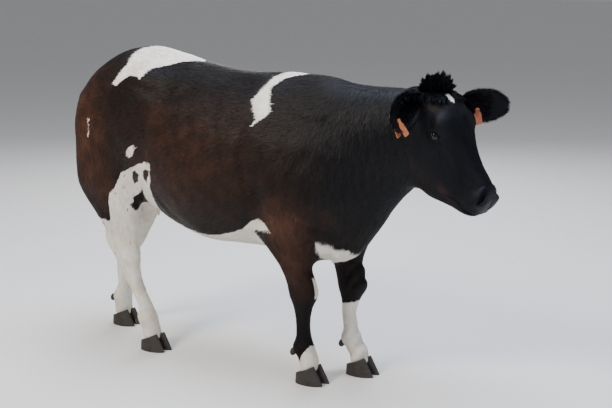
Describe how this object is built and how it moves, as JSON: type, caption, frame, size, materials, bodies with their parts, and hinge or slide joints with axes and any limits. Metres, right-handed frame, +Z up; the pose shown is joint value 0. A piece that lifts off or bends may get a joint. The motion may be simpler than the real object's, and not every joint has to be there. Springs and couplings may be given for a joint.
{
  "type": "cow",
  "caption": "Still life-size museum-style model of a young polled black-and-white cow, standing square with its head lowered a little and plain blank ear tags.",
  "frame": {"origin": "the middle of the bounding box, on the floor under the cow", "axes": "+X forward along the back to the head, +Y to the cow's left, +Z up"},
  "size_m": [2.033, 0.6258, 1.2874],
  "materials": {
    "coat_black": "short glossy black-brown coat",
    "coat_white": "short matt white coat",
    "nose_skin": "bare moist slate-grey skin",
    "udder_skin": "bare soft pink skin",
    "eye": "wet dark brown eye",
    "horn": "satin grey-brown hoof horn",
    "tag_plastic": "salmon orange, blank"
  },
  "bodies": {
    "root": {"ear_left": "coat_black", "ear_right": "coat_black", "eye_left": "eye", "eye_right": "eye", "fore_left_claw_left": "horn", "fore_left_claw_right": "horn", "fore_left_dewclaw_left": "horn", "fore_left_dewclaw_right": "horn", "fore_left_lower": "coat_white", "fore_left_upper": "coat_black", "fore_right_claw_left": "horn", "fore_right_claw_right": "horn", "fore_right_dewclaw_left": "horn", "fore_right_dewclaw_right": "horn", "fore_right_lower": "coat_black", "fore_right_upper": "coat_black", "head": "coat_black", "hind_left_claw_left": "horn", "hind_left_claw_right": "horn", "hind_left_dewclaw_left": "horn", "hind_left_dewclaw_right": "horn", "hind_left_lower": "coat_white", "hind_left_upper": "coat_white", "hind_right_claw_left": "horn", "hind_right_claw_right": "horn", "hind_right_dewclaw_left": "horn", "hind_right_dewclaw_right": "horn", "hind_right_lower": "coat_white", "hind_right_upper": "coat_white", "lower_jaw": "coat_black", "muzzle": "nose_skin", "neck": "coat_black", "poll_tuft": "coat_black", "tag_left_back": "tag_plastic", "tag_left_front": "tag_plastic", "tag_right_back": "tag_plastic", "tag_right_front": "tag_plastic", "tail": "coat_black", "tail_switch": "coat_black", "trunk": "coat_black", "udder": "udder_skin"}
  },
  "joints": []
}
